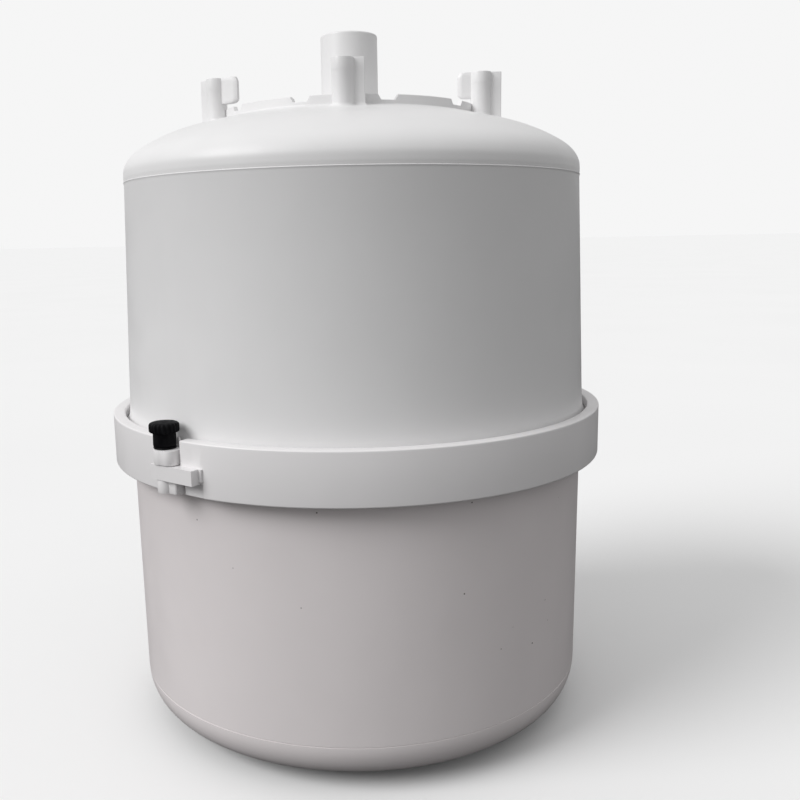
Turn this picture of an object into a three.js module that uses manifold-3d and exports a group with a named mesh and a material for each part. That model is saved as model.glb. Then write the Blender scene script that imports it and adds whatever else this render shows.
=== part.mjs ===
// Openable steam cylinder of an electrode-boiler humidifier.
// Two moulded half shells are held together by a hinged clamp ring with a screw closure.
// Millimetres, +Z up. The origin is the middle of the circle that the foot ring stands on.
// Azimuth 0 faces -Y and grows towards +X.
import * as THREE from 'three';
import { mergeVertices } from 'three/addons/utils/BufferGeometryUtils.js';
import Module from 'manifold-3d';

const wasm = await Module();
wasm.setup();

// ---- Driving dimensions ----
const TURNS = 40; // facets of the big round pieces
const GAP = 0.3; // clearance between pieces that touch
const WALL = 3.5;

// Heights of the shells
const FOOT_HEIGHT = 6;
const LOWER_CORNER = 26;
const LOWER_SEAM_Z = FOOT_HEIGHT + LOWER_CORNER;
const UPPER_SEAM_Z = 359.4;
const OUTLET_TOP_Z = 453;

// Radii of the shells, with the draft that frees them from their moulds
const UPPER_SEAM_R = 150;
const UPPER_RIM_R = 154.6;
const LOWER_RIM_R = 153.6;
const LOWER_SEAM_R = 152.5;
const FOOT_R = 90;

// Dome
const DOME_SLOPE = Math.tan(THREE.MathUtils.degToRad(14));
const DOME_EDGE_R = 112;
const CROWN_WALL_R = 84;
const CROWN_WALL = 3;
const CROWN_BASE_Z = 398.8;
const CROWN_NOTCH_Z = CROWN_BASE_Z + 2.4;
const CROWN_TOP_Z = CROWN_BASE_Z + 5.6;
const CROWN_FLOOR_Z = CROWN_BASE_Z - 1.2;
const CROWN_NOTCHES = 10;
const CROWN_TURN = -1; // degrees that the crown and its posts are turned from straight ahead
const OUTLET_R = 18.8;
const OUTLET_BORE_R = 15.8;

// Clamp ring: a C section that grips both flanges
const RING_R = 165.7;
const RING_LIP_R = 158.2;
const RING_GROOVE_R = 161;
const RING_BOTTOM_Z = 179.3;
const RING_TOP_Z = 211.3;
const RING_LIP = 6.7;
const SPLIT_AZIMUTH = -36;
const SPLIT_GAP = 1.6;

// Flanges and the gasket between them
const FLANGE_R = 160.4;
const FLANGE_TOP_Z = RING_TOP_Z - RING_LIP - GAP;
const FLANGE_BOTTOM_Z = RING_BOTTOM_Z + RING_LIP + GAP;
const JOINT_Z = (RING_BOTTOM_Z + RING_TOP_Z) / 2;
const GASKET = 3;
const GASKET_INNER_R = 152.5;

// Screw closure of the clamp ring
const KNOB_AZIMUTH = -40;
const KNOB_AXIS_R = 166;
const BOSS_R = 7;
const BOSS_TOP_Z = 205.6;
const TONGUE_TOP_Z = 196.7;
const TONGUE_BOTTOM_Z = 187.9;
const TONGUE_FRONT_R = 171.5;
const KNUCKLE_BOTTOM_Z = 180;
const KNUCKLE_R = 5.6;
const STUD_R = 2.5;
const STUD_BOTTOM_Z = 181;

// Hinge of the clamp ring, opposite the split
const HINGE_AZIMUTH = SPLIT_AZIMUTH + 180;
const HINGE_AXIS_R = 172;
const HINGE_KNUCKLE_R = 5.5;
const HINGE_PIN_R = 2.5;

// Terminal posts on the dome, one over each electrode or sensor
const STATIONS = 5;
const STATION_R = 88.7;
const POST_TOP_Z = 423.6;
const POST_R = 6.6;
const POST_BORE_R = 4.8;
const POST_FLOOR_Z = 401;
const FIN_REACH = 12.8;
const FLAG_REACH = 14.7;
const LONG_FLAG_REACH = 19; // on the left post
const RIGHT_TURN = 14; // degrees that the right post's fin is turned from straight outward
const LEFT_TURN = -52; // the same for the left post
const SEAT_Z = 390;
const SEAT_R = 10;
const PIN_R = 3;
const PIN_TOP_Z = 418;
const COLLAR_R = 8;
const COLLAR_TOP_Z = 386.9;

// Electrodes and sensors
const PLATE_WIDTH = 78;
const PLATE_THICKNESS = 2;
const PLATE_TOP_Z = 380;
const PLATE_BOTTOM_Z = 110;
const ROD_BOTTOM_Z = 345;
const SENSOR_TIP_Z = 318;
const SLEEVE_R = 5;

// Drain socket and strainer in the middle of the base
const SOCKET_R = 19;
const SOCKET_BORE_R = 15;
const DRAIN_R = 12.5;
const SOCKET_SHOULDER_Z = 30;
const SOCKET_TOP_Z = 34;
const STRAINER_R = 25;
const STRAINER_TOP_Z = 66;

// ---- Helpers ----
const radians = THREE.MathUtils.degToRad;

// Turns a closed three.js geometry into a solid, with its faces pointing out.
function solid(geometry) {
  const bare = geometry.index ? geometry.clone() : geometry;
  bare.deleteAttribute('normal');
  bare.deleteAttribute('uv');
  const merged = mergeVertices(bare, 1e-4);
  const corners = merged.index.array;
  const positions = merged.attributes.position.array;
  const triangles = [];
  for (let i = 0; i < corners.length; i += 3) {
    const [a, b, c] = [corners[i], corners[i + 1], corners[i + 2]];
    if (a !== b && b !== c && c !== a) {
      triangles.push(a, b, c);
    }
  }
  if (signedVolume(positions, triangles) < 0) {
    triangles.reverse();
  }
  return new wasm.Manifold(new wasm.Mesh({
    numProp: 3,
    vertProperties: new Float32Array(positions),
    triVerts: new Uint32Array(triangles),
  }));
}

function signedVolume(positions, triangles) {
  const a = new THREE.Vector3();
  const b = new THREE.Vector3();
  const c = new THREE.Vector3();
  let volume = 0;
  for (let i = 0; i < triangles.length; i += 3) {
    a.fromArray(positions, 3 * triangles[i]);
    b.fromArray(positions, 3 * triangles[i + 1]);
    c.fromArray(positions, 3 * triangles[i + 2]);
    volume += a.dot(b.cross(c)) / 6;
  }
  return volume;
}

function meshOf(name, shape, material) {
  const source = shape.getMesh();
  const geometry = new THREE.BufferGeometry();
  geometry.setAttribute('position', new THREE.BufferAttribute(new Float32Array(source.vertProperties), 3));
  geometry.setIndex(new THREE.BufferAttribute(new Uint32Array(source.triVerts), 1));
  geometry.computeVertexNormals();
  const mesh = new THREE.Mesh(geometry, material.clone());
  mesh.name = name;
  return mesh;
}

// A turned solid about Z from an outline of [radius, height] corners, closed on itself.
function turned(outline, facets = TURNS) {
  const points = outline.map(([r, z]) => new THREE.Vector2(r, z));
  points.push(points[0].clone());
  return new THREE.LatheGeometry(points, facets).rotateX(Math.PI / 2);
}

// A round bar or, with an inner radius, a tube, standing on Z.
function round(radius, bottom, top, { inner = 0, facets = 12 } = {}) {
  return turned([[inner, bottom], [radius, bottom], [radius, top], [inner, top]], facets);
}

// A block given by its ranges along X, Y and Z.
function block([x0, x1], [y0, y1], [z0, z1]) {
  const geometry = new THREE.BoxGeometry(x1 - x0, y1 - y0, z1 - z0);
  return geometry.translate((x0 + x1) / 2, (y0 + y1) / 2, (z0 + z1) / 2);
}

// Turns geometry made with +X outward so that it faces an azimuth.
function facing(geometry, azimuth) {
  return geometry.rotateZ(radians(azimuth - 90));
}

// Moves a geometry made on the Z axis to an azimuth and a radius, +X staying outward.
function placed(geometry, azimuth, radius) {
  return facing(geometry.translate(radius, 0, 0), azimuth);
}

// Points of an arc about [cx, cy], from one angle to another in degrees.
function arc(cx, cy, radius, from, to, steps) {
  return Array.from({ length: steps + 1 }, (_, i) => {
    const angle = radians(from + ((to - from) * i) / steps);
    return [cx + radius * Math.cos(angle), cy + radius * Math.sin(angle)];
  });
}

const stationAzimuths = Array.from({ length: STATIONS }, (_, i) => (360 / STATIONS) * i + CROWN_TURN);

// ---- Materials ----
const upperPlastic = new THREE.MeshStandardMaterial({ color: 0xe9e8e6, roughness: 0.42 });
const lowerPlastic = new THREE.MeshStandardMaterial({ color: 0xe2dcda, roughness: 0.45 });
const ringPlastic = new THREE.MeshStandardMaterial({ color: 0xe8e7e5, roughness: 0.4 });
const blackPlastic = new THREE.MeshStandardMaterial({ color: 0x0d0d10, roughness: 0.38 });
const stainless = new THREE.MeshStandardMaterial({ color: 0xb9bcc0, roughness: 0.3, metalness: 1 });
const brass = new THREE.MeshStandardMaterial({ color: 0xc9a45a, roughness: 0.35, metalness: 1 });
const rubber = new THREE.MeshStandardMaterial({ color: 0x1c1c1e, roughness: 0.8 });
const ptfe = new THREE.MeshStandardMaterial({ color: 0xf1f1ee, roughness: 0.5 });
const strainerPlastic = new THREE.MeshStandardMaterial({ color: 0xd8dad8, roughness: 0.5 });

// ---- Upper shell ----
// Height of the dome's cone at a radius, outside.
function domeZ(radius) {
  return CROWN_BASE_Z - (radius - CROWN_WALL_R) * DOME_SLOPE;
}

// Outside of the dome from the seam to the foot of the crown wall.
function domeOutside() {
  return [
    [UPPER_SEAM_R + 0.9, UPPER_SEAM_Z],
    [151, 364],
    [149.8, 368.5],
    [147.2, 372.8],
    [143, 377],
    [137, 381],
    [127, 386.3],
    [DOME_EDGE_R, domeZ(DOME_EDGE_R)],
    [CROWN_WALL_R, CROWN_BASE_Z],
  ];
}

function upperShellBody() {
  const insideTop = CROWN_FLOOR_Z - WALL;
  return solid(turned([
    [GASKET_INNER_R, JOINT_Z + GASKET / 2],
    [FLANGE_R, JOINT_Z + GASKET / 2],
    [FLANGE_R, FLANGE_TOP_Z],
    [157.2, FLANGE_TOP_Z],
    [155.6, FLANGE_TOP_Z + 2],
    [UPPER_RIM_R, FLANGE_TOP_Z + 6.5],
    [UPPER_SEAM_R, UPPER_SEAM_Z],
    ...domeOutside(),
    [CROWN_WALL_R, CROWN_TOP_Z],
    [CROWN_WALL_R - CROWN_WALL, CROWN_TOP_Z],
    [CROWN_WALL_R - CROWN_WALL, CROWN_FLOOR_Z],
    [OUTLET_R, CROWN_FLOOR_Z],
    [OUTLET_R, OUTLET_TOP_Z - 1.8],
    [OUTLET_R - 0.5, OUTLET_TOP_Z - 0.5],
    [OUTLET_R - 1.6, OUTLET_TOP_Z],
    [OUTLET_BORE_R, OUTLET_TOP_Z],
    [OUTLET_BORE_R, insideTop],
    [CROWN_WALL_R - 1, insideTop],
    [DOME_EDGE_R - 1, domeZ(DOME_EDGE_R) - WALL],
    [126, 382.6],
    [135.5, 377.5],
    [141, 373.5],
    [144.6, 369],
    [146.4, 364],
    [UPPER_SEAM_R - WALL, UPPER_SEAM_Z],
    [UPPER_RIM_R - WALL, FLANGE_TOP_Z],
    [UPPER_RIM_R - WALL, JOINT_Z + GASKET / 2],
  ]));
}

// Notch with sloping ends, cut through the crown wall.
function crownNotch(azimuth) {
  const halfFloor = 4.2;
  const halfTop = 7;
  const over = CROWN_TOP_Z + 1;
  const outline = new THREE.Shape([
    new THREE.Vector2(-halfFloor, CROWN_NOTCH_Z),
    new THREE.Vector2(halfFloor, CROWN_NOTCH_Z),
    new THREE.Vector2(halfTop, over),
    new THREE.Vector2(-halfTop, over),
  ]);
  const wedge = new THREE.ExtrudeGeometry(outline, { depth: CROWN_WALL + 4, bevelEnabled: false });
  // The outline stands up, and its depth runs outward.
  wedge.rotateX(Math.PI / 2).rotateZ(Math.PI / 2);
  return solid(facing(wedge.translate(CROWN_WALL_R - CROWN_WALL - 2, 0, 0), azimuth));
}

// A plate standing on the dome beside a post, along the outward direction.
function postFin(from, to, bottom, top) {
  return block([from, to], [-1.4, 1.4], [bottom, top]);
}

// The tube with its fins. The front post has one fin, on its side; the others have an outer
// fin down to the dome and an inner flag that stops above the crown wall.
function post(index, azimuth) {
  const base = domeZ(STATION_R + FIN_REACH) - 1;
  let shape = solid(placed(round(POST_R - 0.4, base, POST_TOP_Z), azimuth, STATION_R));
  const head = round(POST_R, POST_TOP_Z - 7, POST_TOP_Z);
  shape = shape.add(solid(placed(head, azimuth, STATION_R)));
  if (index === 0) {
    const side = postFin(POST_R - 1.5, FIN_REACH, base, POST_TOP_Z - GAP).rotateZ(Math.PI / 2);
    shape = shape.add(solid(placed(side, azimuth, STATION_R)));
  } else {
    const turns = { 1: RIGHT_TURN, 4: LEFT_TURN };
    const turn = radians(turns[index] || 0);
    const flagReach = index === 4 ? LONG_FLAG_REACH : FLAG_REACH;
    const outer = postFin(POST_R - 1.5, FIN_REACH, base, POST_TOP_Z).rotateZ(turn);
    const inner = block([-flagReach, 1.5 - POST_R], [-2, 2], [CROWN_TOP_Z + 3.2, POST_TOP_Z]).rotateZ(turn);
    shape = shape.add(solid(placed(outer, azimuth, STATION_R)));
    shape = shape.add(solid(placed(inner, azimuth, STATION_R)));
  }
  return shape;
}

function upperShell() {
  let shape = upperShellBody();
  const notchStep = 360 / CROWN_NOTCHES;
  for (let i = 0; i < CROWN_NOTCHES; i += 1) {
    shape = shape.subtract(crownNotch(notchStep * (i + 0.5) + CROWN_TURN));
  }
  stationAzimuths.forEach((azimuth, index) => {
    // A rib runs from the crown wall to the outlet between two posts.
    const rib = block([OUTLET_R - 1, CROWN_WALL_R - 1], [-1.5, 1.5], [CROWN_FLOOR_Z - 1, CROWN_NOTCH_Z]);
    shape = shape.add(solid(facing(rib, azimuth + notchStep)));
    shape = shape.add(post(index, azimuth));
    const seat = round(SEAT_R, SEAT_Z, domeZ(STATION_R + SEAT_R) - 0.4);
    shape = shape.add(solid(placed(seat, azimuth, STATION_R)));
    const bore = round(POST_BORE_R, POST_FLOOR_Z, POST_TOP_Z + 1);
    shape = shape.subtract(solid(placed(bore, azimuth, STATION_R)));
    const hole = round(PIN_R + GAP, SEAT_Z - 1, POST_FLOOR_Z + 1);
    shape = shape.subtract(solid(placed(hole, azimuth, STATION_R)));
  });
  return shape;
}

// ---- Lower shell ----
function lowerShell() {
  const inner = LOWER_SEAM_R - WALL;
  const corner = LOWER_CORNER;
  const flangeTop = JOINT_Z - GASKET / 2;
  const sealGroove = [[SOCKET_BORE_R, 18], [SOCKET_BORE_R + 2, 18], [SOCKET_BORE_R + 2, 21], [SOCKET_BORE_R, 21]];
  return solid(turned([
    [FLANGE_R, FLANGE_BOTTOM_Z],
    [FLANGE_R, flangeTop],
    [GASKET_INNER_R - 2.4, flangeTop],
    [GASKET_INNER_R - 2.4, FLANGE_BOTTOM_Z],
    ...arc(inner - corner + WALL, LOWER_SEAM_Z, corner - WALL, 0, -90, 4),
    [SOCKET_R, FOOT_HEIGHT + WALL],
    [SOCKET_R, SOCKET_TOP_Z],
    [DRAIN_R, SOCKET_TOP_Z],
    [DRAIN_R, SOCKET_SHOULDER_Z],
    [SOCKET_BORE_R, SOCKET_SHOULDER_Z],
    ...sealGroove.reverse(),
    [SOCKET_BORE_R, FOOT_HEIGHT],
    [FOOT_R - 4, FOOT_HEIGHT],
    [FOOT_R - 3, 0],
    [FOOT_R, 0],
    [FOOT_R + 1, FOOT_HEIGHT],
    ...arc(LOWER_SEAM_R - corner, LOWER_SEAM_Z, corner, -90, 0, 5),
    [LOWER_RIM_R, FLANGE_BOTTOM_Z - 6.5],
    [LOWER_RIM_R + 1, FLANGE_BOTTOM_Z - 2],
    [156.2, FLANGE_BOTTOM_Z],
  ]));
}

function flangeGasket() {
  const half = GASKET / 2 - GAP;
  return solid(turned([
    [GASKET_INNER_R, JOINT_Z - half],
    [FLANGE_R - 0.6, JOINT_Z - half],
    [FLANGE_R - 0.6, JOINT_Z + half],
    [GASKET_INNER_R, JOINT_Z + half],
  ]));
}

// ---- Clamp ring ----
// side is 1 for the half that lies beyond the split in azimuth, -1 for the other half.
function ringHalf(side) {
  const ring = solid(turned([
    [RING_LIP_R, RING_TOP_Z],
    [RING_R - 0.8, RING_TOP_Z],
    [RING_R, RING_TOP_Z - 0.8],
    [RING_R, RING_BOTTOM_Z + 0.8],
    [RING_R - 0.8, RING_BOTTOM_Z],
    [RING_LIP_R, RING_BOTTOM_Z],
    [RING_LIP_R, RING_BOTTOM_Z + RING_LIP],
    [RING_GROOVE_R, RING_BOTTOM_Z + RING_LIP],
    [RING_GROOVE_R, RING_TOP_Z - RING_LIP],
    [RING_LIP_R, RING_TOP_Z - RING_LIP],
  ]));
  const far = RING_R + 20;
  const away = [-side * SPLIT_GAP / 2, side * SPLIT_GAP / 2 - side * 2 * far].sort((a, b) => a - b);
  const shifted = away.map((y) => y + side * SPLIT_GAP);
  const other = block([-far, far], shifted, [RING_BOTTOM_Z - 1, RING_TOP_Z + 1]);
  return ring.subtract(solid(facing(other, SPLIT_AZIMUTH)));
}

function hingeKnuckle(bottom, top) {
  return solid(placed(round(HINGE_KNUCKLE_R, bottom, top), HINGE_AZIMUTH, HINGE_AXIS_R));
}

// The web that joins a hinge knuckle to its ring half.
function hingeWeb(side, bottom, top) {
  const web = block([RING_GROOVE_R + 1, HINGE_AXIS_R], [0.8, HINGE_KNUCKLE_R + 3], [bottom, top]);
  if (side > 0) {
    web.scale(1, -1, 1);
  }
  return solid(facing(web, HINGE_AZIMUTH));
}

function hingeBore() {
  const bore = round(HINGE_PIN_R + GAP, RING_BOTTOM_Z - 1, RING_TOP_Z + 1);
  return solid(placed(bore, HINGE_AZIMUTH, HINGE_AXIS_R));
}

const KNUCKLE_SPLITS = [RING_BOTTOM_Z + 0.5, 190, 200.6, RING_TOP_Z - 0.5];
const KNUCKLE_PLAY = 0.4;

function clampHalfLeft() {
  const [low, first, second, high] = KNUCKLE_SPLITS;
  let shape = ringHalf(-1);
  for (const [bottom, top] of [[low, first - KNUCKLE_PLAY], [second + KNUCKLE_PLAY, high]]) {
    shape = shape.add(hingeKnuckle(bottom, top)).add(hingeWeb(-1, bottom, top));
  }
  // Room for the middle knuckle of the other half.
  const room = round(HINGE_KNUCKLE_R + 0.8, first - KNUCKLE_PLAY, second + KNUCKLE_PLAY);
  shape = shape.subtract(solid(placed(room, HINGE_AZIMUTH, HINGE_AXIS_R)));
  // Boss over the tongue, with the pocket that the knob stands in, and the knuckle under it.
  const boss = round(BOSS_R, TONGUE_TOP_Z, BOSS_TOP_Z, { facets: 24 });
  shape = shape.add(solid(placed(boss, KNOB_AZIMUTH, KNOB_AXIS_R)));
  const knuckle = round(KNUCKLE_R, KNUCKLE_BOTTOM_Z, TONGUE_BOTTOM_Z, { facets: 24 });
  shape = shape.add(solid(placed(knuckle, KNOB_AZIMUTH, KNOB_AXIS_R)));
  // Both run on to the split; below the tongue the ring's end is only a little proud.
  const bossMiddle = KNOB_AXIS_R * Math.sin(radians(KNOB_AZIMUTH - SPLIT_AZIMUTH));
  for (const [front, bottom, top] of [
    [KNOB_AXIS_R + BOSS_R - 0.8, TONGUE_TOP_Z, BOSS_TOP_Z],
    [KNOB_AXIS_R + 2.5, KNUCKLE_BOTTOM_Z, TONGUE_BOTTOM_Z],
  ]) {
    const toSplit = block([RING_GROOVE_R + 1, front], [bossMiddle, -SPLIT_GAP / 2], [bottom, top]);
    shape = shape.add(solid(facing(toSplit, SPLIT_AZIMUTH)));
  }
  const inside = round(RING_GROOVE_R, RING_BOTTOM_Z + RING_LIP, RING_TOP_Z - RING_LIP, { facets: TURNS });
  shape = shape.subtract(solid(inside));
  const pocket = round(BOSS_R + 0.9, BOSS_TOP_Z, RING_TOP_Z + 1, { facets: 24 });
  shape = shape.subtract(solid(placed(pocket, KNOB_AZIMUTH, KNOB_AXIS_R)));
  const pocketMouth = block([RING_LIP_R - 3, RING_R + 3], [-6.8, 0], [BOSS_TOP_Z, RING_TOP_Z + 1]);
  shape = shape.subtract(solid(facing(pocketMouth, SPLIT_AZIMUTH)));
  // Slot that takes the tongue.
  const slotRange = [TONGUE_BOTTOM_Z - 0.4, TONGUE_TOP_Z + 0.4];
  const slot = block([RING_GROOVE_R + 1.5, RING_R + 20], [-19.5, 0], slotRange);
  shape = shape.subtract(solid(facing(slot, SPLIT_AZIMUTH)));
  const upperHole = round(STUD_R + GAP, TONGUE_TOP_Z, BOSS_TOP_Z + 1);
  shape = shape.subtract(solid(placed(upperHole, KNOB_AZIMUTH, KNOB_AXIS_R)));
  const insertHole = round(4.4, KNUCKLE_BOTTOM_Z - 1, TONGUE_BOTTOM_Z);
  shape = shape.subtract(solid(placed(insertHole, KNOB_AZIMUTH, KNOB_AXIS_R)));
  return shape.subtract(hingeBore());
}

function clampHalfRight() {
  const [, first, second] = KNUCKLE_SPLITS;
  let shape = ringHalf(1);
  // Room for the outer knuckles of the other half.
  for (const [bottom, top] of [[RING_BOTTOM_Z - 1, first], [second, RING_TOP_Z + 1]]) {
    const room = round(HINGE_KNUCKLE_R + 0.8, bottom, top);
    shape = shape.subtract(solid(placed(room, HINGE_AZIMUTH, HINGE_AXIS_R)));
  }
  shape = shape.add(hingeKnuckle(first, second)).add(hingeWeb(1, first, second));
  // Tongue across the split. Its slot is open at the tip, so it slides off the stud.
  const tongueRange = [TONGUE_BOTTOM_Z, TONGUE_TOP_Z];
  const tongue = block([RING_GROOVE_R + 2, TONGUE_FRONT_R], [-18.5, 15.5], tongueRange);
  shape = shape.add(solid(facing(tongue, SPLIT_AZIMUTH)));
  const root = block([RING_GROOVE_R + 2, RING_R + 0.5], [15, 17.5], [TONGUE_BOTTOM_Z + 1.6, TONGUE_TOP_Z]);
  shape = shape.add(solid(facing(root, SPLIT_AZIMUTH)));
  const slotHalf = STUD_R + 0.7;
  const slotEnd = round(slotHalf, TONGUE_BOTTOM_Z - 1, TONGUE_TOP_Z + 1);
  shape = shape.subtract(solid(placed(slotEnd, KNOB_AZIMUTH, KNOB_AXIS_R)));
  const slot = block(
    [KNOB_AXIS_R - 10, KNOB_AXIS_R + slotHalf], [-30, 0], [TONGUE_BOTTOM_Z - 1, TONGUE_TOP_Z + 1]);
  shape = shape.subtract(solid(facing(slot, KNOB_AZIMUTH)));
  // Shallow recess in the ring under the tongue.
  const recess = block([RING_R - 2.6, RING_R + 5], [0, 17.5], [RING_BOTTOM_Z - 1, TONGUE_BOTTOM_Z]);
  shape = shape.subtract(solid(facing(recess, SPLIT_AZIMUTH)));
  return shape.subtract(hingeBore());
}

function hingePin() {
  const low = RING_BOTTOM_Z - 0.6;
  const high = RING_TOP_Z;
  return solid(placed(turned([
    [0, low], [HINGE_PIN_R, low], [HINGE_PIN_R, high + GAP], [HINGE_PIN_R + 1.5, high + GAP],
    [HINGE_PIN_R + 1.5, high + 1.6], [HINGE_PIN_R + 0.5, high + 2.4], [0, high + 2.4],
  ], 12), HINGE_AZIMUTH, HINGE_AXIS_R));
}

// ---- Screw closure ----
const WASHER_BOTTOM_Z = BOSS_TOP_Z + GAP;
const WASHER_TOP_Z = WASHER_BOTTOM_Z + 1;
const KNOB_BOTTOM_Z = WASHER_TOP_Z + GAP;
const KNOB_HEAD_Z = KNOB_BOTTOM_Z + 8;
const KNOB_BODY_R = 6.7;
const KNOB_HEAD_R = 8.7;
const STUD_TOP_Z = KNOB_HEAD_Z + 2;

function clampKnob() {
  const body = turned([
    [0, KNOB_BOTTOM_Z], [KNOB_BODY_R, KNOB_BOTTOM_Z], [KNOB_BODY_R - 0.2, KNOB_HEAD_Z],
    [KNOB_HEAD_R, KNOB_HEAD_Z], [KNOB_HEAD_R, KNOB_HEAD_Z + 4.4], [KNOB_HEAD_R - 1, KNOB_HEAD_Z + 5.6],
    [0, KNOB_HEAD_Z + 6.4],
  ], 24);
  const socket = round(STUD_R + GAP, KNOB_BOTTOM_Z - 1, STUD_TOP_Z + GAP);
  return onKnobAxis(body).subtract(onKnobAxis(socket));
}

function onKnobAxis(geometry) {
  return solid(placed(geometry, KNOB_AZIMUTH, KNOB_AXIS_R));
}

// ---- Terminals, electrodes and sensors ----
function terminalNut(azimuth) {
  const low = POST_FLOOR_Z + GAP;
  const ring = round(POST_BORE_R - GAP, low, low + 5, { inner: PIN_R + GAP });
  const nut = solid(placed(ring, azimuth, STATION_R));
  const slot = block([-6, 6], [-0.6, 0.6], [low + 3.4, low + 6]);
  return nut.subtract(solid(placed(slot, azimuth, STATION_R)));
}

function terminalSeal(azimuth) {
  const seal = round(COLLAR_R - 0.4, COLLAR_TOP_Z + GAP, SEAT_Z - GAP, { inner: PIN_R + GAP });
  return solid(placed(seal, azimuth, STATION_R));
}

function terminalPin(azimuth, bottom) {
  return solid(placed(turned([
    [0, bottom], [PIN_R, bottom], [PIN_R, COLLAR_TOP_Z - 3], [COLLAR_R, COLLAR_TOP_Z - 3],
    [COLLAR_R, COLLAR_TOP_Z], [PIN_R, COLLAR_TOP_Z], [PIN_R, PIN_TOP_Z - 1.2],
    [PIN_R - 1.2, PIN_TOP_Z], [0, PIN_TOP_Z],
  ], 12), azimuth, STATION_R));
}

function electrodePlate(azimuth) {
  const half = PLATE_WIDTH / 2;
  const corner = 8;
  const outline = new THREE.Shape();
  outline.moveTo(-half, PLATE_TOP_Z);
  outline.lineTo(-half, PLATE_BOTTOM_Z + corner);
  outline.quadraticCurveTo(-half, PLATE_BOTTOM_Z, corner - half, PLATE_BOTTOM_Z);
  outline.lineTo(half - corner, PLATE_BOTTOM_Z);
  outline.quadraticCurveTo(half, PLATE_BOTTOM_Z, half, PLATE_BOTTOM_Z + corner);
  outline.lineTo(half, PLATE_TOP_Z);
  for (const [x, z] of [[-20, 320], [20, 320], [-20, 240], [20, 240], [-20, 160], [20, 160]]) {
    const hole = new THREE.Path();
    hole.absellipse(x, z, 8, 20, 0, 2 * Math.PI, true);
    outline.holes.push(hole);
  }
  const options = { depth: PLATE_THICKNESS, bevelEnabled: false, curveSegments: 5 };
  const plate = new THREE.ExtrudeGeometry(outline, options);
  plate.rotateX(Math.PI / 2).rotateZ(Math.PI / 2);
  return solid(facing(plate.translate(STATION_R + PIN_R + GAP, 0, 0), azimuth));
}

function sensorSleeve(azimuth) {
  const sleeve = round(SLEEVE_R, SENSOR_TIP_Z + 12, COLLAR_TOP_Z - 3 - GAP, { inner: PIN_R + GAP });
  return solid(placed(sleeve, azimuth, STATION_R));
}

// ---- Drain fittings ----
function drainSeal() {
  const section = arc(SOCKET_BORE_R + 0.5, 19.5, 1.15, 0, 315, 7);
  return solid(turned(section, 24));
}

function drainStrainer() {
  const low = FOOT_HEIGHT + WALL + GAP;
  const cage = solid(turned([
    [STRAINER_R - 2.2, low], [STRAINER_R, low], [STRAINER_R, STRAINER_TOP_Z - 3],
    [STRAINER_R - 3, STRAINER_TOP_Z], [0, STRAINER_TOP_Z], [0, STRAINER_TOP_Z - 2.2],
    [STRAINER_R - 3.8, STRAINER_TOP_Z - 2.2], [STRAINER_R - 2.2, STRAINER_TOP_Z - 4],
  ], 24));
  let strainer = cage;
  for (let i = 0; i < 4; i += 1) {
    const slot = block([-STRAINER_R - 2, STRAINER_R + 2], [-3, 3], [low + 6, STRAINER_TOP_Z - 8]);
    strainer = strainer.subtract(solid(slot.rotateZ(radians(45 * i + 22.5))));
  }
  return strainer;
}

// ---- Assembly ----
const vessel = new THREE.Group();
vessel.name = 'steam_cylinder';

function addPiece(name, shape, material) {
  vessel.add(meshOf(name, shape, material));
}

addPiece('upper_shell', upperShell(), upperPlastic);
addPiece('lower_shell', lowerShell(), lowerPlastic);
addPiece('flange_gasket', flangeGasket(), rubber);
addPiece('clamp_half_left', clampHalfLeft(), ringPlastic);
addPiece('clamp_half_right', clampHalfRight(), ringPlastic);
addPiece('clamp_hinge_pin', hingePin(), stainless);
addPiece('clamp_knob', clampKnob(), blackPlastic);
addPiece('clamp_washer', onKnobAxis(
  round(BOSS_R - 0.4, WASHER_BOTTOM_Z, WASHER_TOP_Z, { inner: STUD_R + GAP })), blackPlastic);
addPiece('clamp_stud', onKnobAxis(round(STUD_R, STUD_BOTTOM_Z, STUD_TOP_Z, { facets: 12 })), stainless);
addPiece('clamp_insert', onKnobAxis(round(
  4.1, KNUCKLE_BOTTOM_Z + 0.4, TONGUE_BOTTOM_Z - 0.7, { inner: STUD_R + GAP })), brass);

// Three electrodes stand at the front and at the two rear stations, sensors at the sides.
const electrodeStations = [0, 2, 3];
const names = ['front', 'right', 'rear_right', 'rear_left', 'left'];
stationAzimuths.forEach((azimuth, index) => {
  const where = names[index];
  const isElectrode = electrodeStations.includes(index);
  const kind = isElectrode ? 'electrode' : 'sensor';
  addPiece(`${kind}_nut_${where}`, terminalNut(azimuth), brass);
  addPiece(`${kind}_seal_${where}`, terminalSeal(azimuth), rubber);
  addPiece(`${kind}_pin_${where}`, terminalPin(azimuth, isElectrode ? ROD_BOTTOM_Z : SENSOR_TIP_Z), stainless);
  if (isElectrode) {
    addPiece(`electrode_plate_${where}`, electrodePlate(azimuth), stainless);
  } else {
    addPiece(`sensor_sleeve_${where}`, sensorSleeve(azimuth), ptfe);
  }
});

addPiece('drain_seal', drainSeal(), rubber);
addPiece('drain_strainer', drainStrainer(), strainerPlastic);

export default vessel;
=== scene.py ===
import math

import bmesh
import bpy
import numpy as np
from mathutils import Matrix, Vector


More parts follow.
